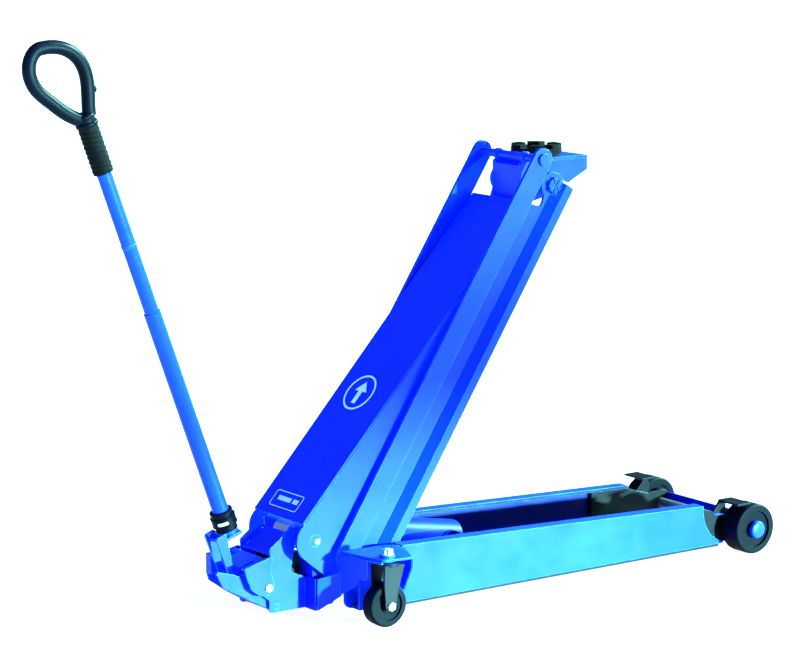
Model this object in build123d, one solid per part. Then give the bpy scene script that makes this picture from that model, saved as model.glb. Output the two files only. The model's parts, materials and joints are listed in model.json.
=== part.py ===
from build123d import *
from math import atan2, cos, degrees, hypot, radians, sin
import os

# Long-chassis trolley jack with parallelogram saddle head, shown fully raised.
# Modelled in millimetres with x = 0 on the main arm pivot, z = 0 on the floor,
# +X towards the front wheels and +Y to the left; centred in X when exported.

# Lifting linkage
PIVOT_Z = 90.0
ARM_ANGLE = 57.15
ARM_LENGTH = 1156.5
LINK_BACK = 50.0
LINK_UP = 73.0
LUG_X, LUG_Z = -130.5, 210.0
ANCHOR_X, ANCHOR_Z = 335.0, 130.0

# Pin radii and running clearance
CLEARANCE = 0.05
MAIN_PIN_R = 20.0
HEAD_PIN_R = 12.0
LINK_PIN_R = 11.0
LINK_LOW_PIN_R = 7.5
LUG_PIN_R = 16.0
TRUNNION_R = 16.0
ROD_EYE_CLEARANCE = 9.4

# Chassis
BEAM_OUTER_Y = 180.0
BEAM_WEB = 8.0
BEAM_BOTTOM_Z = 28.0
BEAM_REAR_TOP_Z = 183.0
BEAM_SLOPE = 46.0 / 1275.0
REAR_PLATE_Y0, REAR_PLATE_Y1 = 140.0, 148.0
FRONT_AXLE_X, FRONT_WHEEL_R = 1261.5, 70.0
FRONT_AXLE_R = 15.0
CASTER_X, CASTER_Y, CASTER_R = -13.5, 248.0, 56.0
STEM_X, STEM_R = -5.5, 8.0
CASTER_AXLE_R = 6.0

# Arm section
WALL_Y0, WALL_Y1 = 104.0, 112.0
COVER_T = 6.0
LUG_U, LUG_V = 30.0, 174.7
FLANGE_U0, FLANGE_U1 = 40.0, 1175.0
COVER_REAR = (48.5, 234.0)
COVER_FRONT = (1076.5, 61.0)
TIE_Y0, TIE_Y1, TIE_WIDTH = 124.0, 134.0, 59.0

# Head and saddle
HEAD_Y0, HEAD_Y1 = 50.0, 62.0
SADDLE_OFFSET = 33.0
SADDLE_R = 68.0
SADDLE_STEM_R = 15.0

# Pump, handle and pedal
HANDLE_X, HANDLE_Z = -251.5, 98.0
HANDLE_PIN_R = 10.0
HANDLE_BASE_X, HANDLE_BASE_Z, HANDLE_LEAN = -303.5, 190.0, 20.3
PEDAL_X, PEDAL_Z, PEDAL_PIN_R = -221.0, 44.0, 7.0
PUMP_PLUNGER_R, PEDAL_PLUNGER_R = 9.0, 7.0
PUMP_ARM = 26.0
PEDAL_PLUNGER_X, PEDAL_PLUNGER_Y = -180.0, 28.0

ARM_COS, ARM_SIN = cos(radians(ARM_ANGLE)), sin(radians(ARM_ANGLE))
HEAD_X = ARM_LENGTH * ARM_COS
HEAD_Z = PIVOT_Z + ARM_LENGTH * ARM_SIN
LINK_TOP_X, LINK_TOP_Z = HEAD_X - LINK_BACK, HEAD_Z + LINK_UP
LINK_LOW_X, LINK_LOW_Z = -LINK_BACK, PIVOT_Z + LINK_UP
SADDLE_X = HEAD_X + SADDLE_OFFSET
RAM_ANGLE = degrees(atan2(LUG_Z - ANCHOR_Z, LUG_X - ANCHOR_X))
RAM_LENGTH = hypot(LUG_X - ANCHOR_X, LUG_Z - ANCHOR_Z)

LEFT_RIGHT = (("left", 1), ("right", -1))
BOTTOM = (Align.CENTER, Align.CENTER, Align.MIN)


# ---------------------------------------------------------------- helpers

def outline(points):
    """Face from (u, v) or (u, v, corner radius) points."""
    face = Face(Wire.make_polygon([(p[0], p[1], 0) for p in points], close=True))
    for point in points:
        if len(point) == 3:
            corner = face.vertices().sort_by_distance((point[0], point[1], 0))[0]
            face = face.fillet_2d(point[2], [corner])
    return face


def plate(points, y0, y1):
    """Flat plate with an XZ outline, between two y planes."""
    low, high = min(y0, y1), max(y0, y1)
    side = Plane(origin=(0, high, 0), x_dir=(1, 0, 0), z_dir=(0, -1, 0))
    return extrude(side * outline(points), amount=high - low, dir=(0, -1, 0))


def deck(points, z0, z1):
    """Flat plate with an XY outline, between two heights."""
    return extrude(Pos(0, 0, z0) * outline(points), amount=z1 - z0, dir=(0, 0, 1))


def block(x0, x1, y0, y1, z0, z1):
    size = (x1 - x0, y1 - y0, z1 - z0)
    return Pos((x0 + x1) / 2, (y0 + y1) / 2, (z0 + z1) / 2) * Box(*size)


def rod(start, end, radius):
    """Cylinder between two points."""
    axis = Vector(*end) - Vector(*start)
    return Plane(origin=start, z_dir=axis) * Cylinder(radius, axis.length, align=BOTTOM)


def cross_rod(x, z, radius, y0, y1):
    """Cylinder along Y."""
    return rod((x, min(y0, y1), z), (x, max(y0, y1), z), radius)


def cross_tube(x, z, outer, inner, y0, y1):
    return cross_rod(x, z, outer, y0, y1) - cross_rod(x, z, inner, y0, y1)


def hexagon(start, end, radius):
    """Hexagonal prism between two points; radius is to the corners."""
    axis = Vector(*end) - Vector(*start)
    face = Plane(origin=start, z_dir=axis) * RegularPolygon(radius, 6)
    return extrude(face, amount=axis.length, dir=axis.normalized())


def arm_point(u, v):
    """Arm coordinates (along, perpendicular) to chassis x and z."""
    return (u * ARM_COS - v * ARM_SIN, PIVOT_Z + u * ARM_SIN + v * ARM_COS)


def arm_plate(points, y0, y1):
    return plate([arm_point(p[0], p[1]) + tuple(p[2:]) for p in points], y0, y1)


def head_point(dx, dz):
    return (HEAD_X + dx, HEAD_Z + dz)


def head_plate(points, y0, y1):
    return plate([head_point(p[0], p[1]) + tuple(p[2:]) for p in points], y0, y1)


def handle_plane():
    lean = radians(HANDLE_LEAN)
    origin = (HANDLE_BASE_X, 0, HANDLE_BASE_Z)
    return Plane(origin=origin, x_dir=(cos(lean), 0, sin(lean)), z_dir=(-sin(lean), 0, cos(lean)))


def handle_rod(radius, start, end):
    return handle_plane() * Pos(0, 0, start) * Cylinder(radius, end - start, align=BOTTOM)


def handle_tube(outer, inner, start, end):
    return handle_rod(outer, start, end) - handle_rod(inner, start, end)


def ram_plane():
    angle = radians(RAM_ANGLE)
    return Plane(origin=(ANCHOR_X, 0, ANCHOR_Z), x_dir=(0, 1, 0), z_dir=(cos(angle), 0, sin(angle)))


def ram_rod(radius, start, end):
    return ram_plane() * Pos(0, 0, start) * Cylinder(radius, end - start, align=BOTTOM)


def beam_top(x):
    return BEAM_REAR_TOP_Z - (x - CASTER_X) * BEAM_SLOPE


# ---------------------------------------------------------------- chassis

def side_beam(sign):
    web_in = BEAM_OUTER_Y - BEAM_WEB
    web = plate([(-42, BEAM_BOTTOM_Z), (1225, BEAM_BOTTOM_Z), (1225, beam_top(1225)),
                 (92, beam_top(92)), (92, 172), (-42, 172)], sign * web_in, sign * BEAM_OUTER_Y)
    web -= cross_rod(1220.5, 130, 100, sign * 160, sign * 190)
    web -= block(1200, 1240, *sorted((sign * 160, sign * 190)), 120, 160)
    web -= cross_rod(FRONT_AXLE_X, FRONT_WHEEL_R, FRONT_WHEEL_R + 6, sign * 160, sign * 190)
    top = plate([(92, beam_top(92) - 8), (1121, beam_top(1121) - 8), (1121, beam_top(1121)),
                 (92, beam_top(92))], sign * 140, sign * web_in)
    bottom = block(-42, 1184, *sorted((sign * 150, sign * web_in)), BEAM_BOTTOM_Z, BEAM_BOTTOM_Z + 8)
    return web + top + bottom


def rear_plate(sign):
    body = plate([(-64, 172), (88, 172), (88, 169), (160, 167, 8), (160, 28, 8), (-64, 28, 20)],
                 sign * REAR_PLATE_Y0, sign * REAR_PLATE_Y1)
    body += cross_rod(0, PIVOT_Z, 36, sign * REAR_PLATE_Y1, sign * 172)
    body -= cross_rod(0, PIVOT_Z, MAIN_PIN_R + CLEARANCE, sign * 130, sign * 173)
    body -= cross_rod(LINK_LOW_X, LINK_LOW_Z, LINK_LOW_PIN_R, sign * 130, sign * 150)
    return body


def belly_plate():
    return deck([(90, -179), (1180, -179), (1180, 179), (90, 179)], 22, BEAM_BOTTOM_Z)


def rear_cross_plate():
    return block(-135, -129, -116, 116, 28, 110)


def leaning_plate(start, end, profile, thickness):
    """Upright plate standing on the line from start to end; profile is (distance, z)."""
    along = Vector(end[0] - start[0], end[1] - start[1], 0)
    across = Vector(0, 0, 1).cross(along.normalized())
    side = Plane(origin=(start[0], start[1], 0), x_dir=along, z_dir=across * -1)
    return extrude(side * outline(profile), amount=thickness, dir=across * -1)


def outrigger(sign):
    """Caster carrier: top plate, two gussets and the swivel boss."""
    stem_y = -CASTER_Y
    body = deck([(-69.5, -137, 4), (59.5, -143, 10), (89.5, -166, 10), (49.5, -288, 18), (-34.5, -274, 12)],
                172, 178)
    body += leaning_plate((-70, -138), (-34, -272), [(0, 172), (138, 172), (138, 154), (0, 64)], 6)
    body += leaning_plate((-128.8, -116), (-70, -138), [(0, 28), (0, 110), (63, 125), (63, 64)], 6)
    body += leaning_plate((101, -180.2), (52, -284), [(-2, 172), (114, 172), (114, 148), (0, 60)], 6)
    body += rod((STEM_X, stem_y, 167), (STEM_X, stem_y, 184.5), 20)
    body -= rod((STEM_X, stem_y, 0), (STEM_X, stem_y, 116), 74)
    body -= rod((STEM_X, stem_y, 115), (STEM_X, stem_y, 166.5), 50)
    body -= rod((STEM_X, stem_y, 160), (STEM_X, stem_y, 190), STEM_R + CLEARANCE)
    body -= block(60, 120, -180.1, -100, 20, 172)
    body -= block(91, 120, -180.1, -100, 171, 180)
    body = body.solids().sort_by(SortBy.VOLUME)[-1]
    return body if sign < 0 else mirror(body, about=Plane.XZ)


def tail_plate(sign):
    body = plate([(-169.5, 248, 4), (-242, 194, 6), (-237, 140, 15), (-271, 118, 12), (-277, 88, 12),
                  (-243, 62, 10), (-243, 28, 10), (-135, 28), (-135, 108, 12), (-179.5, 127, 12),
                  (-167.5, 185, 12)], sign * 64, sign * 70)
    body -= cross_rod(HANDLE_X, HANDLE_Z, HANDLE_PIN_R + CLEARANCE, sign * 60, sign * 75)
    body -= cross_rod(PEDAL_X, PEDAL_Z, PEDAL_PIN_R + CLEARANCE, sign * 60, sign * 75)
    return body


def pump_cover():
    return plate([(-235, 174), (-173, 220), (-177, 225), (-238, 179)], -64, 64)


def pump_block():
    body = plate([(-212, 56, 6), (-135, 56), (-135, 170), (-188, 170, 14), (-212, 150, 10)], -45, 45)
    bore_z = HANDLE_Z - PUMP_ARM
    body -= rod((-213, 0, bore_z), (-150, 0, bore_z), PUMP_PLUNGER_R + CLEARANCE)
    top = (PEDAL_PLUNGER_X, PEDAL_PLUNGER_Y, 120)
    body -= rod((PEDAL_PLUNGER_X, PEDAL_PLUNGER_Y, 50), top, PEDAL_PLUNGER_R + CLEARANCE)
    return body


def oil_reservoir():
    return fillet(block(-129, -62, -95, 95, 32, 150).edges().filter_by(Axis.Y), 10)


def pressure_pipe():
    line = rod((-62, -62, 45), (284, -62, 45), 5)
    union = hexagon((-62, -62, 45), (-44, -62, 45), 10)
    return line + union


def anchor_bracket():
    body = block(262, 408, -75, 75, BEAM_BOTTOM_Z, BEAM_BOTTOM_Z + 8)
    for sign in (1, -1):
        body += plate([(284, 36), (398, 36), (366, 138), (304, 138)], sign * 56, sign * 68)
        body += cross_rod(ANCHOR_X, ANCHOR_Z, 32, sign * 56, sign * 68)
    body -= cross_rod(ANCHOR_X, ANCHOR_Z, TRUNNION_R + CLEARANCE, -80, 80)
    return body


def front_cross_member():
    body = block(1285, 1293, -158, 158, 30, 98)
    return fillet(body.edges().filter_by(Axis.Y).group_by(Axis.Z)[-1], 2)


def axle_carrier(sign):
    body = plate([(1000, beam_top(1000) - 8), (1121, beam_top(1121) - 8), (1151.5, 123, 20),
                  (1222, 101), (1222, 30), (1190, 30), (1185, 36), (1000, 36)], sign * 158, sign * 172)
    body += cross_rod(FRONT_AXLE_X, FRONT_WHEEL_R, 40, sign * 158, sign * 172)
    body += block(1215, FRONT_AXLE_X, *sorted((sign * 158, sign * 172)), 30, 106)
    body += plate([(1165, 112), (1215, 104), (1214, 145), (1193, 145)], sign * 160, sign * 168)
    body += block(1192, 1241, *sorted((sign * 160, sign * 242)), 144, 149)
    body -= cross_rod(FRONT_AXLE_X, FRONT_WHEEL_R, FRONT_AXLE_R, sign * 150, sign * 180)
    return body


def front_axle():
    return cross_rod(FRONT_AXLE_X, FRONT_WHEEL_R, FRONT_AXLE_R, -246, 246)


def axle_nuts():
    nuts = []
    for _, sign in LEFT_RIGHT:
        start, end = (FRONT_AXLE_X, sign * 241.6, FRONT_WHEEL_R), (FRONT_AXLE_X, sign * 253, FRONT_WHEEL_R)
        nuts.append(hexagon(start, end, 21) - cross_rod(FRONT_AXLE_X, FRONT_WHEEL_R, FRONT_AXLE_R,
                                                        sign * 240, sign * 246))
    return Compound(nuts)


def main_axle():
    body = cross_rod(0, PIVOT_Z, MAIN_PIN_R, -171, 171)
    for sign in (1, -1):
        body += cross_rod(0, PIVOT_Z, 29, sign * (WALL_Y1 + 0.3), sign * (REAR_PLATE_Y0 - 0.3))
    return body


def tie_rod_pivot_pins():
    pins = []
    for sign in (1, -1):
        pin = cross_rod(LINK_LOW_X, LINK_LOW_Z, LINK_LOW_PIN_R, sign * 119, sign * REAR_PLATE_Y1)
        pins.append(pin + cross_rod(LINK_LOW_X, LINK_LOW_Z, 15, sign * 118, sign * 123.5))
    return Compound(pins)


def handle_pivot_pin():
    return cross_rod(HANDLE_X, HANDLE_Z, HANDLE_PIN_R, -84, 84)


def pedal_pin():
    return cross_rod(PEDAL_X, PEDAL_Z, PEDAL_PIN_R, -71, 71)


# ---------------------------------------------------------------- wheels

def wheel(x, z, radius, bore, y0, y1, recess):
    """Solid roller with rounded tread edges, dished faces and a hub."""
    body = cross_rod(x, z, radius, y0, y1)
    body = fillet(body.edges().filter_by(GeomType.CIRCLE), 6)
    low, high = min(y0, y1), max(y0, y1)
    for face_y, inward in ((low, 1), (high, -1)):
        body -= cross_tube(x, z, radius * 0.72, radius * 0.34, face_y, face_y + inward * recess)
    return body - cross_rod(x, z, bore + CLEARANCE, low - 1, high + 1)


def front_wheel(sign):
    return wheel(FRONT_AXLE_X, FRONT_WHEEL_R, FRONT_WHEEL_R, FRONT_AXLE_R, sign * 174, sign * 241, 7)


def caster_wheel(sign):
    inner, outer = sign * (CASTER_Y - 20), sign * (CASTER_Y + 20)
    return wheel(CASTER_X, CASTER_R, CASTER_R, CASTER_AXLE_R, inner, outer, 5)


def caster_fork(sign):
    centre = sign * CASTER_Y
    body = rod((STEM_X, centre, 158), (STEM_X, centre, 166), 34)
    body += rod((STEM_X, centre, 160), (STEM_X, centre, 199), STEM_R)
    body += rod((STEM_X, centre, 166), (STEM_X, centre, 166.8), 16)
    leg = [(-33, 161), (28, 161), (10, 100), (4, 70), (2, 44, 14), (-29, 44, 14), (-31, 70), (-34, 110)]
    for side in (1, -1):
        body += plate(leg, centre + side * 23, centre + side * 30)
    body += hexagon((STEM_X, centre, 185), (STEM_X, centre, 197), 14)
    body -= cross_rod(CASTER_X, CASTER_R, CASTER_AXLE_R, centre - 35, centre + 35)
    return body


def caster_axle(sign):
    centre = sign * CASTER_Y
    body = cross_rod(CASTER_X, CASTER_R, CASTER_AXLE_R, centre - 34, centre + 34)
    start, end = (CASTER_X, centre - 35.5, CASTER_R), (CASTER_X, centre - 30, CASTER_R)
    body += hexagon(start, end, 11)
    start, end = (CASTER_X, centre + 30, CASTER_R), (CASTER_X, centre + 35.5, CASTER_R)
    return body + hexagon(start, end, 11)


# ---------------------------------------------------------------- lifting arm

def bent_flange(sign):
    """Flange that leans out from the foot of the side wall and ends in a square lip."""
    x, z = arm_point(FLANGE_U0, 0)
    section = Plane(origin=(x, 0, z), x_dir=(0, 1, 0), z_dir=(ARM_COS, 0, ARM_SIN))
    profile = [(WALL_Y1, -3), (135, -26), (135, -50), (129, -50), (129, -28.5), (WALL_Y1, -11.5)]
    face = section * outline([(sign * y, v) for y, v in profile])
    return extrude(face, amount=FLANGE_U1 - FLANGE_U0, dir=(ARM_COS, 0, ARM_SIN))


def arm_side(sign):
    """Tapered side wall with its rear lobe, hub eye, head eye and outward bottom flange."""
    top_rear = (COVER_REAR[0], COVER_REAR[1] - COVER_T)
    top_front = (COVER_FRONT[0], COVER_FRONT[1] - COVER_T)
    wall = arm_plate([(-46, -5), (0, -46), (60, -22, 30), (1150, -22), (1160, 20), (1090, 2, 12), top_front, top_rear,
                      (-26, LUG_V)], sign * WALL_Y0, sign * WALL_Y1)
    for (u, v), radius in (((LUG_U, LUG_V), 56), ((0, 0), 46), ((ARM_LENGTH, 0), 36)):
        x, z = arm_point(u, v)
        wall += cross_rod(x, z, radius, sign * WALL_Y0, sign * WALL_Y1)
    wall += bent_flange(sign)
    wall -= cross_rod(HEAD_X, HEAD_Z, 25, sign * (WALL_Y1 + 0.01), sign * 128.5)
    for (x, z), radius in (((LUG_X, LUG_Z), LUG_PIN_R), ((0, PIVOT_Z), MAIN_PIN_R + CLEARANCE),
                           ((HEAD_X, HEAD_Z), HEAD_PIN_R)):
        wall -= cross_rod(x, z, radius, sign * 90, sign * 120)
    return wall


def cover_point(distance):
    """Point on the centre line of the cover's top face, measured from its rear edge."""
    length = hypot(COVER_FRONT[0] - COVER_REAR[0], COVER_FRONT[1] - COVER_REAR[1])
    share = distance / length
    x, z = arm_point(COVER_REAR[0] + share * (COVER_FRONT[0] - COVER_REAR[0]),
                     COVER_REAR[1] + share * (COVER_FRONT[1] - COVER_REAR[1]))
    return (x, 0, z)


def cover_direction():
    start, end = Vector(*cover_point(0)), Vector(*cover_point(1))
    return tuple((end - start).normalized())


def arm_cover():
    rear, front = COVER_REAR, COVER_FRONT
    body = arm_plate([rear, front, (front[0], front[1] - COVER_T), (rear[0], rear[1] - COVER_T)],
                     -WALL_Y1, WALL_Y1)
    return fillet(body.edges().filter_by(lambda e: e.length > 900).group_by(Axis.Z)[-1], 3)


def cover_markings():
    """Raised outline of the rating label with two bars, and a round lifting symbol."""
    along = Vector(*cover_direction())
    top = Plane(origin=cover_point(0), x_dir=along, z_dir=(-along.Z, 0, along.X))
    shapes = [Pos(47, 6, 0) * (RectangleRounded(48, 122, 8) - RectangleRounded(43, 117, 5.5)),
              Pos(50, 18, 0) * Rectangle(13, 56), Pos(50, -31, 0) * Rectangle(13, 22),
              Pos(392, 12, 0) * (Circle(54) - Circle(48.5)),
              Pos(392, 12, 0) * outline([(-34, -8), (4, -8), (4, -24), (34, 0), (4, 24), (4, 8), (-34, 8)])]
    return Compound([extrude(top * shape, amount=0.6, dir=top.z_dir) for shape in shapes])


def arm_cross_tubes():
    tubes = []
    for u, v in ((560, 40), (1010, 18)):
        x, z = arm_point(u, v)
        tubes.append(cross_tube(x, z, 18, 13, -WALL_Y0, WALL_Y0))
    return Compound(tubes)


def arm_hub_tube():
    return cross_tube(0, PIVOT_Z, 34, MAIN_PIN_R + CLEARANCE, -WALL_Y0, WALL_Y0)


def lug_pin():
    body = cross_rod(LUG_X, LUG_Z, LUG_PIN_R, -112, 112)
    for sign in (1, -1):
        body += cross_rod(LUG_X, LUG_Z, 28, sign * 40, sign * WALL_Y0)
    return body


def head_pivot_pin():
    body = cross_rod(HEAD_X, HEAD_Z, HEAD_PIN_R, -122, 122)
    for sign in (1, -1):
        body += cross_rod(HEAD_X, HEAD_Z, 20, sign * (HEAD_Y1 + 0.3), sign * WALL_Y0)
    return body


def head_pivot_nuts():
    """Slotted nuts on the ends of the head pivot."""
    nuts = []
    for sign in (1, -1):
        nut = hexagon((HEAD_X, sign * WALL_Y1, HEAD_Z), (HEAD_X, sign * 126, HEAD_Z), 22)
        nut -= cross_rod(HEAD_X, HEAD_Z, HEAD_PIN_R, sign * 110, sign * 122)
        for angle in (0, 60, 120):
            slot = Pos(HEAD_X, sign * 124, HEAD_Z) * Rot(0, angle, 0) * Box(50, 5, 6)
            nut -= slot
        nuts.append(nut.solids().sort_by(SortBy.VOLUME)[-1])
    return Compound(nuts)


def tie_rod(sign):
    """Flat bar with rounded ends, parallel to the arm."""
    half = TIE_WIDTH / 2
    start, end = Vector(LINK_LOW_X, LINK_LOW_Z), Vector(LINK_TOP_X, LINK_TOP_Z)
    side = Vector(-ARM_SIN, ARM_COS) * half
    corners = [start + side, end + side, end - side, start - side]
    bar = plate([(c.X, c.Y) for c in corners], sign * TIE_Y0, sign * TIE_Y1)
    for point, pin_r in ((start, LINK_LOW_PIN_R), (end, LINK_PIN_R)):
        bar += cross_rod(point.X, point.Y, half, sign * TIE_Y0, sign * TIE_Y1)
        bar -= cross_rod(point.X, point.Y, pin_r + CLEARANCE, sign * 120, sign * 140)
    return bar


# ---------------------------------------------------------------- head and saddle

def saddle_head():
    cheek = [(-66, 58, 6), (-66, -46, 8), (-30, -46, 12), (20, -34, 10), (69, 14, 8), (93, -4, 4),
             (158, 29), (158, 67), (-30, 67)]
    body = head_plate([(-30, 59), (158, 59), (158, 67), (-30, 67)], -HEAD_Y1, HEAD_Y1)
    for sign in (1, -1):
        body += head_plate(cheek, sign * HEAD_Y0, sign * HEAD_Y1)
        body += cross_rod(LINK_TOP_X, LINK_TOP_Z, 15, sign * HEAD_Y0, sign * HEAD_Y1)
        body += cross_rod(HEAD_X, HEAD_Z, 34, sign * HEAD_Y0, sign * HEAD_Y1)
    body += head_plate([(-66, 50), (-58, 50), (-58, -46), (-66, -46)], -HEAD_Y0, HEAD_Y0)
    body += head_plate([(150, 29), (158, 33), (158, 67), (150, 67)], -HEAD_Y0, HEAD_Y0)
    body += head_plate([(69, 20), (93, 2), (150, 31), (150, 37), (93, 9), (69, 28)], -HEAD_Y0, HEAD_Y0)
    socket_top = (SADDLE_X, 0, HEAD_Z + 60)
    body += rod((SADDLE_X, 0, HEAD_Z + 24), socket_top, 26)
    body -= rod((SADDLE_X, 0, HEAD_Z + 20), (SADDLE_X, 0, HEAD_Z + 70), SADDLE_STEM_R + CLEARANCE)
    body -= cross_rod(HEAD_X, HEAD_Z, HEAD_PIN_R + CLEARANCE, -110, 110)
    body -= cross_rod(LINK_TOP_X, LINK_TOP_Z, LINK_PIN_R, -110, 110)
    return body


def tie_rod_top_pin():
    body = cross_rod(LINK_TOP_X, LINK_TOP_Z, LINK_PIN_R, -139, 139)
    for sign in (1, -1):
        body += cross_rod(LINK_TOP_X, LINK_TOP_Z, 16, sign * 134.3, sign * 142)
    return body


def saddle_plate():
    base = HEAD_Z + 67.3
    body = rod((SADDLE_X, 0, HEAD_Z + 26), (SADDLE_X, 0, base), SADDLE_STEM_R)
    return body + rod((SADDLE_X, 0, base), (SADDLE_X, 0, base + 8), SADDLE_R - 6)


def saddle_pad():
    """Rubber pad with four raised blocks round a dished centre."""
    base = HEAD_Z + 75.3
    body = rod((SADDLE_X, 0, base), (SADDLE_X, 0, base + 24), SADDLE_R)
    body -= rod((SADDLE_X, 0, base + 12), (SADDLE_X, 0, base + 30), 38)
    for angle in (22, 82, 142):
        gap = Pos(SADDLE_X, 0, base + 24) * Rot(0, 0, angle) * Box(200, 22, 18)
        body -= gap
    return body


# ---------------------------------------------------------------- hydraulic ram

def cylinder_barrel():
    """Barrel closed at the anchor end, with trunnions on each side."""
    body = ram_rod(50, -58, 236)
    body = fillet(body.edges().filter_by(GeomType.CIRCLE).group_by(Axis.X)[-1], 12)
    body -= ram_rod(38, -30, 240)
    for sign in (1, -1):
        body += cross_rod(ANCHOR_X, ANCHOR_Z, TRUNNION_R, sign * 44, sign * 72)
        body += cross_rod(ANCHOR_X, ANCHOR_Z, 22, sign * 44, sign * 55.7)
    return body


def cylinder_gland():
    return ram_rod(46, 236, 252) - ram_rod(25 + CLEARANCE, 230, 260)


def piston_rod():
    """Rod with piston and eye; the eye bore is large enough for the arc of the lug."""
    eye_inner = LUG_PIN_R + ROD_EYE_CLEARANCE
    body = ram_rod(38 - CLEARANCE, 196, 226) + ram_rod(25, 220, RAM_LENGTH - 30)
    body += cross_rod(LUG_X, LUG_Z, 37, -30, 30)
    return body - cross_rod(LUG_X, LUG_Z, eye_inner, -40, 40)


# ---------------------------------------------------------------- pump, handle, pedal

def handle_yoke():
    """Fork that carries the handle tube, with the cam that drives the pump plunger."""
    body = cross_tube(HANDLE_X, HANDLE_Z, 18, HANDLE_PIN_R + CLEARANCE, -48, 48)
    strap = [(-375, 232, 6), (-345, 243, 4), (-327, 158), (-311, 132, 20), (-258, 114), (-258, 82),
             (-296, 96, 20), (-332, 122, 20)]
    for sign in (1, -1):
        body += plate(strap, sign * 22, sign * 30)
    body += handle_plane() * Pos(-10, 0, 46) * Box(66, 60, 8)
    body += handle_rod(27, 46, 60)
    body += plate([(-261, 96), (-242, 96), (-246, 66, 4), (-257, 66, 4)], -12, 12)
    body += cross_rod(HANDLE_X, HANDLE_Z - PUMP_ARM, 10, -12, 12)
    body -= cross_rod(HANDLE_X, HANDLE_Z, HANDLE_PIN_R + CLEARANCE, -60, 60)
    return body - handle_rod(21.5, 38, 70)


def rocker():
    """Outer cheeks tied by a plate that is notched to pass the pedal."""
    cheek = [(-322.5, 158, 3), (-260.5, 173), (-235.5, 178, 4), (-246, 144, 12), (-232, 98, 14),
             (-256, 77, 10), (-276, 80, 8), (-303.5, 100, 8), (-316.5, 131, 8)]
    body = plate([(-322.5, 158), (-258, 173.6), (-258, 167.6), (-322.5, 152)], -80, 80)
    body -= block(-330, -278, -64, -48, 140, 190)
    body -= block(-330, -272, 32, 68, 140, 190)
    for sign in (1, -1):
        body += plate(cheek, sign * 72, sign * 80)
    body -= cross_rod(HANDLE_X, HANDLE_Z, HANDLE_PIN_R + CLEARANCE, -90, 90)
    return body


def handle_tube_lower():
    return handle_tube(21.5, 18.55, 40, 670)


def handle_collar():
    return handle_tube(28, 21.5, 60, 76) + handle_tube(32, 21.5, 76, 98) + handle_tube(29, 21.5, 98, 114)


def handle_tube_upper():
    return handle_tube(18.5, 15, 560, 1050) + handle_tube(20, 15, 848, 854)


def grip_sleeve():
    body = handle_tube(25, 18.5, 1046, 1150)
    return body + handle_rod(25, 1150, 1172)


def grip_half(points):
    plane = handle_plane()
    path = [plane.from_local_coords(Vector(t, 0, s)) for s, t in points]
    line = Spline(*path)
    ring = Plane(origin=line @ 0, z_dir=line % 0) * Circle(17)
    return sweep(ring, path=line)


def grip_loop():
    """Teardrop hand loop swept in two halves that meet at the top and at the neck."""
    left = [(1190, -16), (1225, -49), (1261, -73), (1302, -96), (1357, -95), (1386, -66), (1386, -44)]
    right = [(1386, -44), (1380, -23), (1357, 14), (1316, 38), (1283, 40), (1243, 31), (1190, 14)]
    body = grip_half(left) + grip_half(right)
    plane = handle_plane()
    body += plane * Pos(-44, 0, 1386) * Sphere(17)
    body += handle_rod(24, 1172, 1196)
    return body.solids().sort_by(SortBy.VOLUME)[-1]


def pump_plunger():
    face_x = HANDLE_X + 10.3
    z = HANDLE_Z - PUMP_ARM
    return rod((face_x, 0, z), (-172, 0, z), PUMP_PLUNGER_R)


def foot_pedal():
    """Two side plates joined by a bottom pan, with the tread box on the left."""
    foot = [(-264, 51, 20), (-226, 28, 10), (-204, 30, 10), (-204, 58, 10), (-262, 76, 16), (-304, 122, 16)]
    body = plate([(-396, 157, 4), (-371, 109, 10), (-299, 72, 20)] + foot + [(-340, 141, 10)], -60, -52)
    body += plate([(-350, 124, 4), (-344, 104, 8), (-299, 72, 20)] + foot + [(-318, 134, 6), (-322, 176, 4),
                  (-350, 176, 4)], 52, 60)
    body += plate([(-270, 57), (-226, 31), (-226, 37), (-268, 63)], -52, 52)
    body += plate([(-230, 31), (-172, 34), (-172, 42), (-230, 42)], -40, 40)
    body += block(-350, -322, 36, 52, 124, 176) - block(-345, -327, 42, 53, 120, 170)
    body += block(-232, -210, -52, 52, 32, 42)
    return body - cross_rod(PEDAL_X, PEDAL_Z, PEDAL_PIN_R + CLEARANCE, -70, 70)


def pedal_plunger():
    top = (PEDAL_PLUNGER_X, PEDAL_PLUNGER_Y, 100)
    return rod((PEDAL_PLUNGER_X, PEDAL_PLUNGER_Y, 42.3), top, PEDAL_PLUNGER_R)


# ---------------------------------------------------------------- assembly

SINGLE_PARTS = (belly_plate, rear_cross_plate, pump_cover, pump_block, oil_reservoir, pressure_pipe,
                anchor_bracket, front_cross_member, front_axle, axle_nuts, main_axle, tie_rod_pivot_pins,
                handle_pivot_pin, pedal_pin, arm_cover, cover_markings, arm_cross_tubes, arm_hub_tube, lug_pin,
                head_pivot_pin, head_pivot_nuts, saddle_head, tie_rod_top_pin, saddle_plate, saddle_pad,
                cylinder_barrel, cylinder_gland, piston_rod, handle_yoke, rocker, handle_tube_lower,
                handle_collar, handle_tube_upper, grip_sleeve, grip_loop, pump_plunger, foot_pedal,
                pedal_plunger)
PAIRED_PARTS = (side_beam, rear_plate, outrigger, tail_plate, axle_carrier, front_wheel, caster_wheel,
                caster_fork, caster_axle, arm_side, tie_rod)


def build_nodes():
    nodes = {make.__name__: make() for make in SINGLE_PARTS}
    for make in PAIRED_PARTS:
        for side, sign in LEFT_RIGHT:
            nodes[f"{make.__name__}_{side}"] = make(sign)
    return nodes


def centre_x(nodes):
    boxes = [shape.bounding_box() for shape in nodes.values()]
    return (min(box.min.X for box in boxes) + max(box.max.X for box in boxes)) / 2


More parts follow.
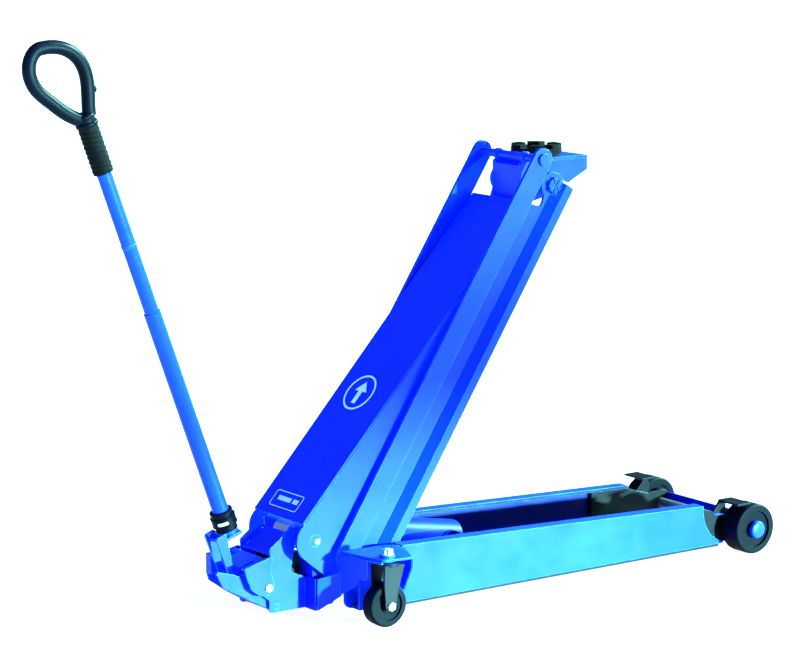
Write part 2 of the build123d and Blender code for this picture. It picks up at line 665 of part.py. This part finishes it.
def export_nodes():
    os.makedirs("parts", exist_ok=True)
    nodes = build_nodes()
    shift = centre_x(nodes)
    print("centre x", shift, "nodes", len(nodes))
    for name, shape in nodes.items():
        export_step(Pos(-shift, 0, 0) * shape, f"parts/{name}.step")


if __name__ == "__main__":
    export_nodes()
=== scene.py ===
"""Looks for the trolley jack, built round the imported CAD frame."""
import json
import math
import random

import bmesh
import bpy
from mathutils import Matrix, Vector


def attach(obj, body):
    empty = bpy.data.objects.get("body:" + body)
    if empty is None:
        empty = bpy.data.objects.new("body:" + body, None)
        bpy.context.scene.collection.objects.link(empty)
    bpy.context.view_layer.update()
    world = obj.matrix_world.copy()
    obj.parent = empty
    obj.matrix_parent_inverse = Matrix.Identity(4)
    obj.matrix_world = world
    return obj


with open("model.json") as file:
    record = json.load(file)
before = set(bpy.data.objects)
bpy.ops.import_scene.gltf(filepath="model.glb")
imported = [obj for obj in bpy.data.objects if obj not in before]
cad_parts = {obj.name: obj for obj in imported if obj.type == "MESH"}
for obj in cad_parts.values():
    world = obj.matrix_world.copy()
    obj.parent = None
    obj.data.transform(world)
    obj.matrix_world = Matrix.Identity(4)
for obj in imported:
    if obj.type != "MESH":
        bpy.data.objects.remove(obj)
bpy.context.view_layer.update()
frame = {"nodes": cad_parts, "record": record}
nodes = frame["nodes"]
random.seed(11)

BLUE = (0.0015, 0.027, 1.0, 1)
# Edge colour for the blue paint: a painted highlight, a lighter cyan line along sharp edges
EDGE_HIGHLIGHT = (0.03, 0.36, 1.0, 1)
# Darker copy of the blue paint and its edge colour: painted shade for parts that sit between the beams
SHADED_BLUE = (0.001, 0.010, 0.42, 1)
SHADED_EDGE_HIGHLIGHT = (0.01, 0.12, 0.8, 1)
BLACK_ENAMEL = (0.0008, 0.001, 0.003, 1)
# Edge colour for the black paint: a painted highlight, a blue glint along sharp edges
BLACK_EDGE_HIGHLIGHT = (0.01, 0.04, 0.12, 1)
# Painted shade: a mottled blue-black laid on the faces inside the side beams, up to the limit below
SHADE_DARK = (0.002, 0.004, 0.010, 1)
SHADE_LIGHT = (0.004, 0.010, 0.05, 1)
SHADE_LIMIT = 0.1728  # metres from the centre line, just past the inner face of a beam


# ---------------------------------------------------------------- material helpers

class Graph:
    """Short names for building a node material."""

    def __init__(self, name):
        self.mat = bpy.data.materials.new(name)
        self.mat.use_nodes = True
        self.tree = self.mat.node_tree
        self.shader = self.tree.nodes["Principled BSDF"]
        self.coords = self.add("ShaderNodeTexCoord").outputs["Object"]

    def add(self, kind, **values):
        node = self.tree.nodes.new(kind)
        for key, value in values.items():
            setattr(node, key, value)
        return node

    def link(self, source, target):
        self.tree.links.new(source, target)

    def noise(self, scale, detail=4, stretch=None):
        node = self.add("ShaderNodeTexNoise")
        node.inputs["Scale"].default_value = scale
        node.inputs["Detail"].default_value = detail
        node.inputs["Roughness"].default_value = 0.55
        if stretch:
            mapping = self.add("ShaderNodeMapping")
            mapping.inputs["Scale"].default_value = stretch
            self.link(self.coords, mapping.inputs["Vector"])
            self.link(mapping.outputs[0], node.inputs["Vector"])
        else:
            self.link(self.coords, node.inputs["Vector"])
        return node.outputs["Fac"]

    def grey(self, source, low, high, start=0.3, end=0.7):
        node = self.add("ShaderNodeMapRange")
        node.inputs["From Min"].default_value = start
        node.inputs["From Max"].default_value = end
        node.inputs["To Min"].default_value = low
        node.inputs["To Max"].default_value = high
        self.link(source, node.inputs["Value"])
        return node.outputs["Result"]

    def maths(self, operation, a, b):
        node = self.add("ShaderNodeMath", operation=operation)
        for socket, value in zip(node.inputs, (a, b)):
            if isinstance(value, (int, float)):
                socket.default_value = value
            else:
                self.link(value, socket)
        return node.outputs[0]

    def mix(self, factor, a, b):
        node = self.add("ShaderNodeMix", data_type="RGBA")
        self.link(factor, node.inputs["Factor"])
        for socket, value in ((node.inputs[6], a), (node.inputs[7], b)):
            if isinstance(value, tuple):
                socket.default_value = value
            else:
                self.link(value, socket)
        return node.outputs[2]

    def edges(self, radius):
        """Mask that is 1 on sharp edges, broken up by noise, and the softened normal."""
        bevel = self.add("ShaderNodeBevel", samples=4)
        bevel.inputs["Radius"].default_value = radius
        geometry = self.add("ShaderNodeNewGeometry")
        dot = self.add("ShaderNodeVectorMath", operation="DOT_PRODUCT")
        self.link(bevel.outputs[0], dot.inputs[0])
        self.link(geometry.outputs["Normal"], dot.inputs[1])
        bend = self.maths("SUBTRACT", 1.0, dot.outputs["Value"])
        sharp = self.grey(bend, 0, 1, 0.02, 0.22)
        broken = self.grey(self.noise(38, 6), 0.4, 1, 0.4, 0.6)
        return self.maths("MULTIPLY", sharp, broken), bevel.outputs[0]

    def bump(self, source, strength, distance, normal=None):
        node = self.add("ShaderNodeBump")
        node.inputs["Strength"].default_value = strength
        node.inputs["Distance"].default_value = distance
        self.link(source, node.inputs["Height"])
        if normal is not None:
            self.link(normal, node.inputs["Normal"])
        self.link(node.outputs[0], self.shader.inputs["Normal"])

    def set(self, **values):
        for key, value in values.items():
            self.shader.inputs[key.replace("_", " ")].default_value = value


def inner_shade_mask(g, limit):
    """1 on faces nearer the centre line than limit, apart from those that look up."""
    # The mask marks where painted shade darkens the inside of the beams
    where = g.add("ShaderNodeSeparateXYZ")
    g.link(g.coords, where.inputs[0])
    near = g.grey(g.maths("ABSOLUTE", where.outputs["Y"], 0.0), 1, 0, limit - 0.001, limit + 0.0005)
    facing = g.add("ShaderNodeSeparateXYZ")
    g.link(g.add("ShaderNodeNewGeometry").outputs["Normal"], facing.inputs[0])
    return g.maths("MULTIPLY", near, g.grey(facing.outputs["Z"], 1, 0, 0.4, 0.6))


def paint(name, colour, edge_highlight, rough=(0.28, 0.42), edge_highlight_amount=0.8, specular=0.10, shade_within=None):
    """Sprayed enamel: slow colour drift, streaks, orange peel, and lighter edges that are a painted
    highlight, also made rougher.

    Faces nearer the centre line than the given limit are darkened to a mottled blue-black: painted shade.
    """
    g = Graph(name)
    dark = tuple(c * 0.80 for c in colour[:3]) + (1,)
    light = tuple(min(1, c * 1.12 + 0.0005) for c in colour[:3]) + (1,)
    body = g.mix(g.grey(g.noise(2.6, 5), 0, 1), dark, light)
    streak = g.grey(g.noise(9, 6, stretch=(1, 1, 7)), 0, 0.35, 0.5, 0.75)
    body = g.mix(streak, body, tuple(c * 0.6 for c in colour[:3]) + (1,))
    mask, soft = g.edges(0.0026)
    # Painted highlight: sharp edges are lightened towards the edge colour and made rougher, like rubbed paint
    highlight_and_wear = g.maths("MULTIPLY", mask, edge_highlight_amount)
    # Painted shade: faces inside the channel are darkened to blue-black
    if shade_within:
        painted_shade = g.mix(g.grey(g.noise(11, 6), 0, 1), SHADE_DARK, SHADE_LIGHT)
        body = g.mix(inner_shade_mask(g, shade_within), body, painted_shade)
    g.link(g.mix(highlight_and_wear, body, edge_highlight), g.shader.inputs["Base Color"])
    smear = g.grey(g.noise(14, 7), rough[0], rough[1])
    g.link(g.maths("ADD", smear, g.maths("MULTIPLY", highlight_and_wear, 0.25)), g.shader.inputs["Roughness"])
    g.set(Coat_Weight=specular * 0.3, Coat_Roughness=0.18, Metallic=0.0, Specular_IOR_Level=specular)
    g.bump(g.noise(420, 2), 0.06, 0.0004, soft)
    return g.mat


def moulded(name, colour, rough, grain, bump, dust=0.25):
    """Moulded plastic or rubber with a fine grain and dusty high spots."""
    g = Graph(name)
    dusty = tuple(min(1, c * 1.8 + 0.0004) for c in colour[:3]) + (1,)
    mottled = g.mix(g.grey(g.noise(6, 6), 0, 1, 0.35, 0.8), colour, dusty)
    mask, soft = g.edges(0.0015)
    scuff = tuple(min(1, c * 3 + 0.003) for c in colour[:3]) + (1,)
    g.link(g.mix(g.maths("MULTIPLY", mask, dust), mottled, scuff), g.shader.inputs["Base Color"])
    g.link(g.grey(g.noise(22, 5), rough[0], rough[1]), g.shader.inputs["Roughness"])
    g.set(Specular_IOR_Level=0.035)
    g.bump(g.noise(grain, 3), bump, 0.0004, soft)
    return g.mat


def metal(name, colour, rough, stretch=(1, 1, 1), stain=0.3):
    """Bare or plated metal with turning marks and slight tarnish."""
    g = Graph(name)
    dull = tuple(c * 0.6 for c in colour[:3]) + (1,)
    tint = g.mix(g.grey(g.noise(18, 7), 0, stain, 0.45, 0.8), colour, dull)
    g.link(tint, g.shader.inputs["Base Color"])
    g.link(g.grey(g.noise(55, 6, stretch), rough[0], rough[1]), g.shader.inputs["Roughness"])
    _, soft = g.edges(0.001)
    g.set(Metallic=0.9)
    g.bump(g.noise(160, 4, stretch), 0.12, 0.0003, soft)
    return g.mat


MATERIALS = {
    "blue_paint": paint("blue_enamel", BLUE, EDGE_HIGHLIGHT),
    "dark_steel": paint("black_enamel", BLACK_ENAMEL, BLACK_EDGE_HIGHLIGHT, (0.35, 0.5), 0.5, 0.08),
    "black_plastic": moulded("black_moulding", (0.0004, 0.0008, 0.003, 1), (0.35, 0.5), 700, 0.15),
    "rubber": moulded("black_rubber", (0.0009, 0.0009, 0.0012, 1), (0.5, 0.75), 1100, 0.4),
    "wheel_black": moulded("wheel_nylon", (0.0002, 0.0005, 0.002, 1), (0.5, 0.65), 500, 0.15),
    "zinc": metal("zinc_plate", (0.62, 0.82, 0.92, 1), (0.25, 0.42)),
    "chrome": metal("hard_chrome", (0.82, 0.83, 0.85, 1), (0.06, 0.14), stain=0.1),
    "steel_pin": metal("turned_steel", (0.42, 0.45, 0.5, 1), (0.25, 0.4), stretch=(1, 12, 1)),
    "white_print": moulded("white_print", (0.5, 0.85, 0.98, 1), (0.35, 0.5), 300, 0.05, 0.1),
}
# The side beams carry painted shade on their inner faces
BEAM_PAINT = paint("blue_enamel_beam", BLUE, EDGE_HIGHLIGHT, shade_within=SHADE_LIMIT)
# A darker copy of the blue paint stands in for shade on the parts inside the chassis
SHADED_PAINT = paint("blue_enamel_painted_shade", SHADED_BLUE, SHADED_EDGE_HIGHLIGHT, edge_highlight_amount=0.5, specular=0.05)
SHADED_NODES = ("cylinder_barrel", "oil_reservoir", "anchor_bracket", "front_cross_member", "rear_cross_plate")
slots = {part["node"]: part["material_slot"] for part in frame["record"]["subparts"]}
for name, obj in nodes.items():
    obj.data.materials.clear()
    if name.startswith("side_beam"):
        obj.data.materials.append(BEAM_PAINT)
    elif name in SHADED_NODES:
        obj.data.materials.append(SHADED_PAINT)
    else:
        obj.data.materials.append(MATERIALS[slots[name]])


# ---------------------------------------------------------------- small fittings

# Places are in millimetres, with x = 0 on the main pivot and z = 0 on the floor
JOINTS = {joint["name"]: joint for joint in frame["record"]["behaviour"]["joints"]}
SHIFT = -1000 * JOINTS["arm_lift"]["pos_m"][0]


def joint_place(name):
    return Vector(JOINTS[name]["pos_m"]) * 1000 + Vector((SHIFT, 0, 0))


PIVOT = joint_place("arm_lift")
HEAD_PIVOT = joint_place("head_level")
ARM = math.atan2(HEAD_PIVOT.z - PIVOT.z, HEAD_PIVOT.x - PIVOT.x)
HANDLE_BASE = joint_place("grip_twist")
HANDLE_AXIS = Vector(JOINTS["grip_twist"]["axis"])
HANDLE_SIDE = Vector((HANDLE_AXIS.z, 0.0, -HANDLE_AXIS.x))
LUG_X, LUG_Z = -130.5, 210.0
UP = (0, 0, 1)
HEXAGON = 6


def place(point):
    """Chassis millimetres to frame metres."""
    return Vector(((point[0] - SHIFT) / 1000, point[1] / 1000, point[2] / 1000))


def arm_point(along, up, y):
    """Point given along and square to the arm, from the main pivot."""
    return Vector((along * math.cos(ARM) - up * math.sin(ARM), y,
                   PIVOT.z + along * math.sin(ARM) + up * math.cos(ARM)))


def handle_point(along, radius=0.0, angle=0.0):
    """Point along the handle from its foot, out by radius at an angle round it."""
    outward = HANDLE_SIDE * math.cos(angle) + Vector((0, 1, 0)) * math.sin(angle)
    return HANDLE_BASE + HANDLE_AXIS * along + outward * radius


def keep(name, bm, slot, body, smooth=True):
    """Turn a bmesh into a piece that rides on a body."""
    bmesh.ops.recalc_face_normals(bm, faces=bm.faces)
    mesh = bpy.data.meshes.new(name)
    bm.to_mesh(mesh)
    bm.free()
    for face in mesh.polygons:
        face.use_smooth = smooth
    mesh.materials.append(MATERIALS[slot])
    obj = bpy.data.objects.new(name, mesh)
    bpy.context.scene.collection.objects.link(obj)
    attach(obj, body)


def stack(bm, rings):
    """Skin a list of rings of points, with the two ends capped."""
    rows = [[bm.verts.new(place(point)) for point in ring] for ring in rings]
    count = len(rows[0])
    for low, high in zip(rows, rows[1:]):
        for i in range(count):
            bm.faces.new((low[i], low[(i + 1) % count], high[(i + 1) % count], high[i]))
    bm.faces.new(rows[0])
    bm.faces.new(rows[-1])


def sides_of(axis):
    axis = axis.normalized()
    guide = Vector((0, 0, 1)) if abs(axis.z) < 0.9 else Vector((1, 0, 0))
    first = axis.cross(guide).normalized()
    return first, axis.cross(first)


def turned(bm, origin, axis, profile, count=24):
    """Body of revolution, or a prism when count is low; profile is (radius, height)."""
    axis = Vector(axis).normalized()
    first, second = sides_of(axis)
    rings = []
    for radius, height in profile:
        centre = Vector(origin) + axis * height
        rings.append([centre + (first * math.cos(a) + second * math.sin(a)) * radius
                      for a in (2 * math.pi * i / count for i in range(count))])
    stack(bm, rings)


def bead(bm, path, radius, step=3.0):
    """Rippled weld bead along a chain of points."""
    points = []
    for start, end in zip(path, path[1:]):
        start, end = Vector(start), Vector(end)
        count = max(2, int((end - start).length / step))
        points += [start.lerp(end, i / count) for i in range(count)]
    points.append(Vector(path[-1]))
    rings = []
    for i, point in enumerate(points):
        ahead = points[min(i + 1, len(points) - 1)] - points[max(i - 1, 0)]
        first, second = sides_of(ahead)
        size = radius * (0.82 + 0.18 * (i % 2) + random.uniform(-0.06, 0.06))
        if i in (0, len(points) - 1):
            size *= 0.5
        rings.append([point + (first * math.cos(a) + second * math.sin(a)) * size
                      for a in (math.pi * k / 4 for k in range(8))])
    stack(bm, rings)


def ring_path(x, y, z, radius):
    count = 40
    angles = [2 * math.pi * i / count for i in range(count + 1)]
    return [(x + radius * math.cos(a), y, z + radius * math.sin(a)) for a in angles]


def upright(x, y, low, high):
    return [(x, y, low), (x, y, high)]


def level(start_x, end_x, y, z):
    return [(start_x, y, z), (end_x, y, z)]


def chassis_welds():
    rear_plate, tail_plate, gusset, beam, carrier = 148.6, 71, 139.5, 181.2, 173
    anchor = joint_place("ram_tilt")
    bm = bmesh.new()
    for sign in (1, -1):
        # boss of the rear plate, then the seams round the tail
        bead(bm, ring_path(0, sign * rear_plate, PIVOT.z, 36.8), 2.6, 4)
        bead(bm, upright(-134, sign * tail_plate, 30, 104), 2.6)
        bead(bm, upright(-70.5, sign * gusset, 68, 168), 2.8)
        # front edge of the rear plate, and the outrigger on the side beam
        bead(bm, upright(160.6, sign * rear_plate, 36, 158), 2.4)
        bead(bm, upright(103, sign * beam, 66, 168), 2.8)
        # wheel carrier and the foot of its guard
        bead(bm, [(1002, sign * carrier, 142), (1118, sign * carrier, 138)], 2.2)
        bead(bm, [(1166, sign * carrier, 112), (1216, sign * carrier, 104)], 2.0)
        # cheek of the ram's anchor and its boss
        bead(bm, level(288, 394, sign * 69.5, 37), 3.0)
        bead(bm, ring_path(anchor.x, sign * 69, anchor.z, 33), 2.2, 4)
    keep("chassis_welds", bm, "blue_paint", "chassis")


def arm_welds():
    wall_outside, wall_inside = 112.3, 103
    bm = bmesh.new()
    for sign in (1, -1):
        cover_seam = [arm_point(54, 226, sign * wall_outside), arm_point(1070, 55, sign * wall_outside)]
        bead(bm, cover_seam, 1.8, 4)
        bead(bm, ring_path(0, sign * wall_inside, PIVOT.z, 35.5), 2.2, 4)
    keep("arm_welds", bm, "blue_paint", "lift_arm")


def head_welds():
    cheek, boss_radius = 62.6, 11.8
    link = joint_place("tie_rod_swing") - PIVOT
    x, z = HEAD_PIVOT.x, HEAD_PIVOT.z
    bm = bmesh.new()
    for sign in (1, -1):
        bead(bm, level(x - 26, x + 150, sign * cheek, z + 59), 1.8)
        bead(bm, ring_path(x + link.x, sign * cheek, z + link.z, boss_radius), 1.6, 3)
    keep("head_welds", bm, "blue_paint", "head")


def cap_screw(bm, origin, axis, radius, height):
    """Domed screw head with a hexagon socket and a washer."""
    turned(bm, origin, axis, [(radius * 1.45, 0), (radius * 1.45, 0.8), (radius * 1.35, 1.1)])
    turned(bm, origin, axis, [(radius, 0.9), (radius, height * 0.75), (radius * 0.86, height),
                              (radius * 0.55, height), (radius * 0.5, height * 0.5)])


def grease_nipple(bm, origin, axis):
    turned(bm, origin, axis, [(5.0, -0.5), (5.0, 2.6), (4.6, 3.0)], HEXAGON)
    turned(bm, origin, axis, [(2.6, 2.6), (2.2, 5.0), (3.1, 6.4), (2.6, 7.6), (1.2, 8.0)], 16)


def cover_screws():
    """Four screws down the sloping cover over the pump."""
    foot = Vector((-237.5, 0, 178.5))
    slope = Vector((62, 0, 46)).normalized()
    outward = Vector((-slope.z, 0, slope.x))
    bm = bmesh.new()
    for distance in (13, 64):
        for y in (-50, 50):
            cap_screw(bm, foot + Vector((0, y, 0)) + slope * distance, outward, 4.2, 4.5)
    keep("cover_screws", bm, "blue_paint", "chassis")


def filler_plug_and_nipples():
    plug_x, plug_y, block_top = -96, 52, 149.5
    boss_end, nipple_x, nipple_z = 171.5, 16, PIVOT.z + 24
    bm = bmesh.new()
    turned(bm, (plug_x, plug_y, block_top), UP, [(15, 0), (15, 1.6), (14, 2.2)])
    turned(bm, (plug_x, plug_y, block_top + 1.5), UP, [(10.5, 0), (10.5, 7), (9.2, 8.2)], HEXAGON)
    for sign in (1, -1):
        grease_nipple(bm, (nipple_x, sign * boss_end, nipple_z), (0, sign, 0))
    keep("filler_plug_and_nipples", bm, "zinc", "chassis")


def hub_caps():
    axle, nut_face = joint_place("wheel_left_roll"), 241.2
    bm = bmesh.new()
    for sign in (1, -1):
        turned(bm, (axle.x, sign * nut_face, axle.z), (0, sign, 0),
               [(23.5, 0), (23.5, 9), (22.5, 11.6), (19.5, 13.2), (8, 14.2), (2, 14.4)], 40)
    keep("hub_caps", bm, "blue_paint", "chassis")


def lobe_dots():
    """Small plated discs on the lobes that carry the lug pin."""
    wall_face = 111.5
    bm = bmesh.new()
    for sign in (1, -1):
        turned(bm, (LUG_X + 6, sign * wall_face, LUG_Z - 4), (0, sign, 0),
               [(8.2, 0), (8.2, 1.2), (7.2, 2.0), (2.4, 2.2)])
    keep("lobe_dots", bm, "zinc", "lift_arm")


def collar_clip():
    """Bent strip that goes part of the way round the collar."""
    low, high, inner, outer = 83, 91, 31.6, 33.0
    middle, step, half_count = -126, 4.2, 6
    bm = bmesh.new()
    rings = []
    for i in range(-half_count, half_count + 1):
        angle = math.radians(middle + i * step)
        inset = 1.5 if abs(i) == half_count else 0.0
        corners = ((low + inset, inner), (high - inset, inner), (high - inset, outer), (low + inset, outer))
        rings.append([handle_point(along, radius, angle) for along, radius in corners])
    stack(bm, rings)
    keep("collar_clip", bm, "zinc", "handle", smooth=False)


def collar_rims():
    bm = bmesh.new()
    for along, radius in ((61.5, 29.0), (76, 33.0), (98, 32.8), (112, 30.0)):
        turned(bm, handle_point(along), HANDLE_AXIS,
               [(radius - 2.0, -1.6), (radius, -0.7), (radius, 0.7), (radius - 2.0, 1.6)], 40)
    keep("collar_rims", bm, "black_plastic", "handle")


def sleeve_ribs():
    first, pitch, count = 1054, 12.5, 9
    bm = bmesh.new()
    for k in range(count):
        turned(bm, handle_point(first + pitch * k), HANDLE_AXIS,
               [(24.4, -3.2), (26.2, -1.6), (26.2, 1.6), (24.4, 3.2)], 36)
    keep("sleeve_ribs", bm, "rubber", "grip")


def grip_neck():
    """Two rings under the hand loop and the button on its side."""
    bm = bmesh.new()
    turned(bm, handle_point(1172), HANDLE_AXIS, [(25, -5), (28, -3), (28, 4), (25.5, 7)], 40)
    turned(bm, handle_point(1190), HANDLE_AXIS, [(23, -4), (25.5, -2), (25, 5), (21, 9)], 40)
    turned(bm, handle_point(1246, 44), HANDLE_SIDE, [(12, -8), (13, 2), (10.5, 7), (5, 9)], 20)
    keep("grip_neck", bm, "black_plastic", "grip")


def stem_nuts():
    stem, boss_top = joint_place("caster_left_swivel"), 184.6
    for side, sign in (("left", 1), ("right", -1)):
        bm = bmesh.new()
        foot = (stem.x, sign * stem.y, boss_top)
        turned(bm, foot, UP, [(17.5, 0), (17.5, 1.2), (16.6, 1.6)])
        turned(bm, foot, UP, [(14.2, 1.0), (15.0, 2.0), (15.0, 11.4), (13.6, 12.9), (9.0, 13.1), (8.6, 15.0)],
               HEXAGON)
        keep(f"stem_nut_{side}", bm, "zinc", f"caster_{side}", smooth=False)


chassis_welds()
arm_welds()
head_welds()
cover_screws()
filler_plug_and_nipples()
hub_caps()
lobe_dots()
collar_clip()
collar_rims()
sleeve_ribs()
grip_neck()
stem_nuts()


# ---------------------------------------------------------------- camera, light, floor

def camera():
    azimuth, elevation, distance = math.radians(35.987), math.radians(9.640), 7.551
    target = Vector((-0.0122, 0.0, 0.7088))
    back = Vector((-math.sin(azimuth) * math.cos(elevation), -math.cos(azimuth) * math.cos(elevation),
                   math.sin(elevation)))
    data = bpy.data.cameras.new("photo_view")
    data.sensor_width = 36
    data.lens = 130.72
    data.clip_end = 1000
    obj = bpy.data.objects.new("photo_view", data)
    bpy.context.scene.collection.objects.link(obj)
    turn = (-back).to_track_quat("-Z", "Y").to_matrix().to_4x4()
    roll = Matrix.Rotation(math.radians(0.135), 4, "Z")
    obj.matrix_world = Matrix.Translation(target + back * distance) @ turn @ roll
    bpy.context.scene.camera = obj


def sun(name, origin, strength, spread, colour):
    """Distant light that shines from origin towards the middle of the jack."""
    data = bpy.data.lights.new(name, "SUN")
    data.energy = strength
    data.angle = math.radians(spread)
    data.color = colour
    obj = bpy.data.objects.new(name, data)
    bpy.context.scene.collection.objects.link(obj)
    obj.matrix_world = (-Vector(origin)).to_track_quat("-Z", "Y").to_matrix().to_4x4()


def spot(name, origin, target, reach, irradiance, colour):
    """Hard-edged round light; reach is the radius it covers at the target."""
    origin, target = Vector(origin), Vector(target)
    distance = (target - origin).length
    data = bpy.data.lights.new(name, "SPOT")
    data.energy = irradiance * 4 * math.pi * distance ** 2
    data.spot_size = 2 * math.atan2(reach, distance)
    data.spot_blend = 0.012
    data.shadow_soft_size = 0.25
    data.color = colour
    obj = bpy.data.objects.new(name, data)
    bpy.context.scene.collection.objects.link(obj)
    turn = (target - origin).to_track_quat("-Z", "Y").to_matrix().to_4x4()
    obj.matrix_world = Matrix.Translation(origin) @ turn


def surroundings():
    world = bpy.data.worlds.new("studio")
    bpy.context.scene.world = world
    world.use_nodes = True
    background = world.node_tree.nodes["Background"]
    background.inputs["Color"].default_value = (0.5, 0.72, 1.0, 1)
    background.inputs["Strength"].default_value = 0.3
    bpy.context.scene.view_settings.view_transform = "Standard"
    bpy.context.scene.view_settings.look = "None"


def lights():
    """Three spots with a clear edge for the lit patches, and three distant lights for the rest."""
    cyan = (0.35, 1.0, 1.0)
    reach = 3.0
    spot("low_key", (4.6, -11.0, 0.9), (0.0, 0, -2.56), reach, 54.0, cyan)
    spot("handle_key", (0.7, -12.0, 2.2), (-3.55, 0, 0.7), reach, 18.0, cyan)
    spot("head_key", (4.6, -11.0, 1.2), (0.3, 0, 3.86), reach, 18.0, cyan)
    sun("side_soft", (0.35, -0.9, 0.12), 0.9, 30, (0.3, 0.7, 1.0))
    sun("front_top", (0.85, -0.10, 0.52), 42.0, 12, cyan)
    sun("rear_fill", (-0.95, 0.15, 0.35), 2.0, 60, (0.1, 0.35, 1.0))


def floor():
    """Pale matt floor, partly self-lit so that it comes out white."""
    half = 400.0
    mesh = bpy.data.meshes.new("floor")
    mesh.from_pydata([(-half, -half, 0), (half, -half, 0), (half, half, 0), (-half, half, 0)], [],
                     [(0, 1, 2, 3)])
    obj = bpy.data.objects.new("floor", mesh)
    bpy.context.scene.collection.objects.link(obj)
    g = Graph("pale_floor")
    tone = g.mix(g.grey(g.noise(1.2, 4), 0, 1), (0.22, 0.23, 0.24, 1), (0.26, 0.26, 0.27, 1))
    g.link(tone, g.shader.inputs["Base Color"])
    g.set(Roughness=0.85, Specular_IOR_Level=0.1, Emission_Color=(1, 1, 1, 1), Emission_Strength=0.92)
    mesh.materials.append(g.mat)


camera()
surroundings()
lights()
floor()
